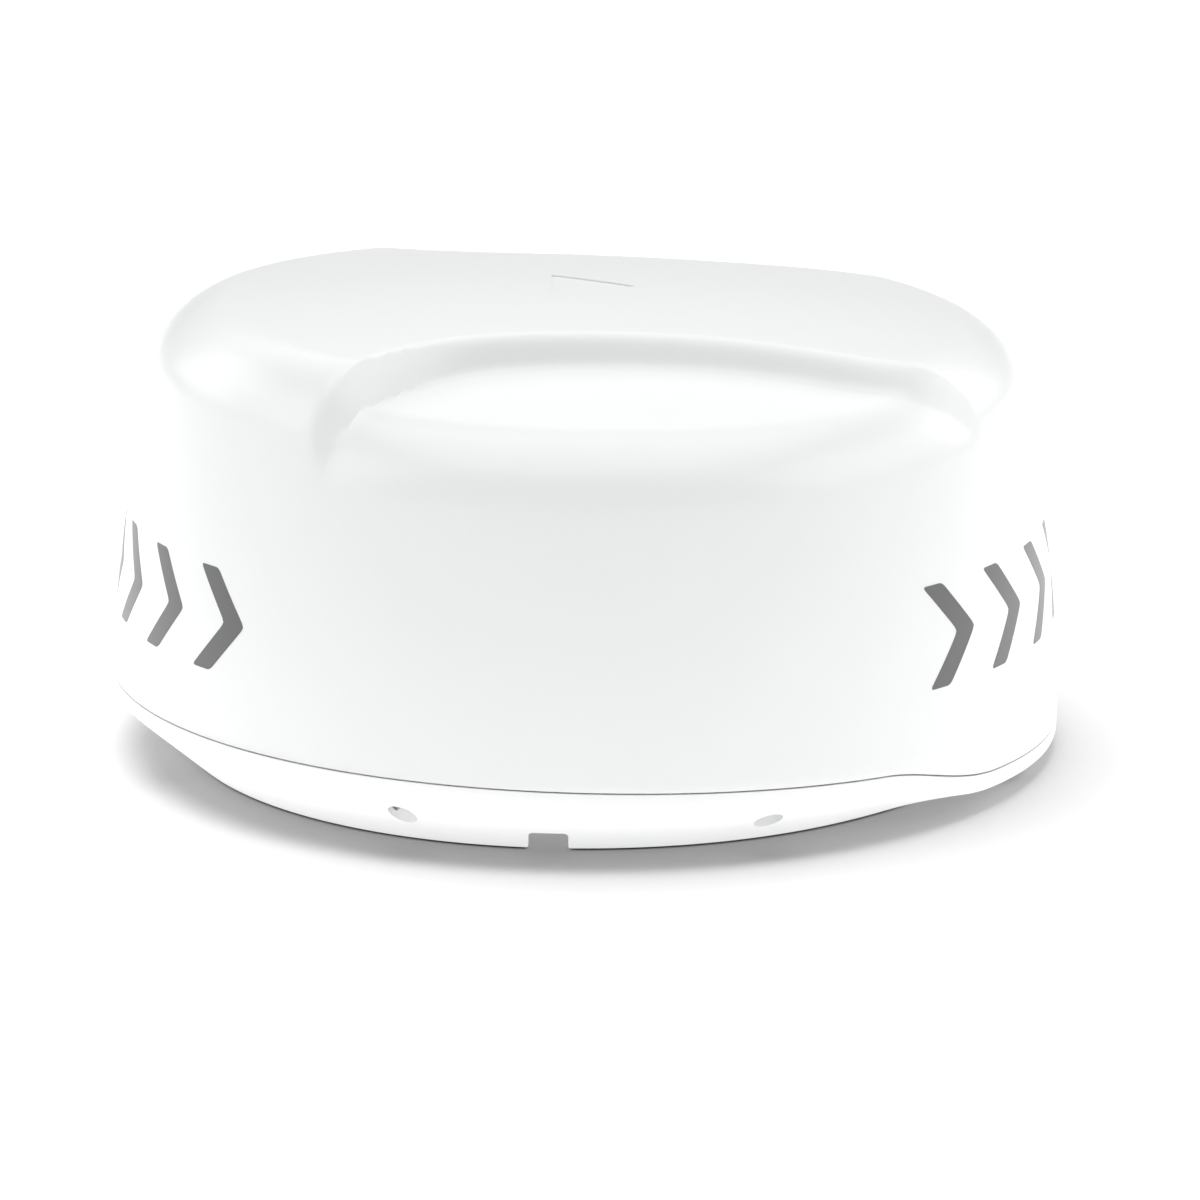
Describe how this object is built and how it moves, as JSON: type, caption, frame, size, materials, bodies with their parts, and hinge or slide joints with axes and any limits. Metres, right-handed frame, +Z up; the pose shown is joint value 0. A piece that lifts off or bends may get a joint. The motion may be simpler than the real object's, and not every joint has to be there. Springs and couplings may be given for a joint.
{
  "type": "radar dome antenna",
  "caption": "Closed white dome radar for a boat: scooped radome on a base housing with a belt-driven rotating array, electronics and four-point underside mounting.",
  "frame": {"origin": "middle of the foot ring, on the plane that the antenna stands on", "axes": "+X towards the bow, +Y to port, +Z up"},
  "size_m": [0.508, 0.508, 0.2452],
  "materials": {
    "gelcoat_white": "glossy white ASA moulding",
    "base_white": "semi-gloss white ASA moulding",
    "black_rubber": "matt black rubber",
    "stainless": "bright turned stainless steel",
    "brass": "turned brass",
    "cast_aluminium": "sand-textured die casting",
    "sheet_aluminium": "clear anodised sheet",
    "black_plastic": "glass-filled black nylon",
    "motor_black": "black painted motor can",
    "board_green": "solder-masked circuit board",
    "array_laminate": "bare microwave laminate",
    "copper": "bare copper jacket",
    "grey_nylon": "natural nylon",
    "ink_grey": "dark grey printed ink"
  },
  "bodies": {
    "base": {"base_housing": "base_white", "rim_gasket": "black_rubber", "chassis_plate": "sheet_aluminium", "pedestal": "cast_aluminium", "lower_bearing": "stainless", "upper_bearing": "stainless", "tensioner_arm": "sheet_aluminium", "drive_belt": "black_rubber", "drive_motor": "motor_black", "motor_bracket": "sheet_aluminium", "encoder_sensor": "black_plastic", "rotary_joint_stator": "brass", "transceiver_box": "cast_aluminium", "transceiver_lid": "cast_aluminium", "main_board": "board_green", "power_board": "board_green", "power_connector": "black_plastic", "network_connector": "black_plastic", "breather_vent": "black_plastic", "radio_cable": "copper", "wiring_loom": "black_plastic", "dome_screw_1": "stainless", "dome_screw_2": "stainless", "dome_screw_3": "stainless", "dome_screw_4": "stainless", "dome_screw_5": "stainless", "dome_screw_6": "stainless", "dome_screw_7": "stainless", "dome_screw_8": "stainless", "mount_insert_1": "brass", "mount_insert_2": "brass", "mount_insert_3": "brass", "mount_insert_4": "brass", "chassis_screw_1": "stainless", "chassis_screw_2": "stainless", "chassis_screw_3": "stainless", "chassis_screw_4": "stainless"},
    "dome": {"radome": "gelcoat_white", "dome_insert_1": "brass", "dome_insert_2": "brass", "dome_insert_3": "brass", "dome_insert_4": "brass", "dome_insert_5": "brass", "dome_insert_6": "brass", "dome_insert_7": "brass", "dome_insert_8": "brass"},
    "antenna": {"antenna_shaft": "stainless", "driven_pulley": "black_plastic", "encoder_disc": "black_plastic", "turntable": "cast_aluminium", "array_tray": "sheet_aluminium", "array_board": "array_laminate", "array_bracket_fore": "sheet_aluminium", "array_bracket_aft": "sheet_aluminium", "counterweight": "stainless", "rotary_joint_rotor": "brass", "feed_cable": "copper"},
    "motor_rotor": {"motor_pulley": "brass", "motor_spindle": "stainless"},
    "idler": {"idler_pulley": "grey_nylon"}
  },
  "joints": [
    {"name": "dome_lift", "type": "slide", "parent": "base", "child": "dome", "axis": [0, 0, 1], "range_m": [0, 0.26]},
    {"name": "antenna_spin", "type": "hinge", "parent": "base", "child": "antenna", "pos_m": [0, 0, 0.07], "axis": [0, 0, 1], "continuous": true},
    {"name": "motor_spin", "type": "hinge", "parent": "base", "child": "motor_rotor", "pos_m": [0.066, -0.062, 0.07], "axis": [0, 0, 1], "continuous": true},
    {"name": "idler_spin", "type": "hinge", "parent": "base", "child": "idler", "pos_m": [0.062, -0.014, 0.07], "axis": [0, 0, 1], "continuous": true}
  ],
  "couplings": [
    {"joint": "motor_spin", "follows": "antenna_spin", "ratio": 4},
    {"joint": "idler_spin", "follows": "antenna_spin", "ratio": 2.7365}
  ]
}
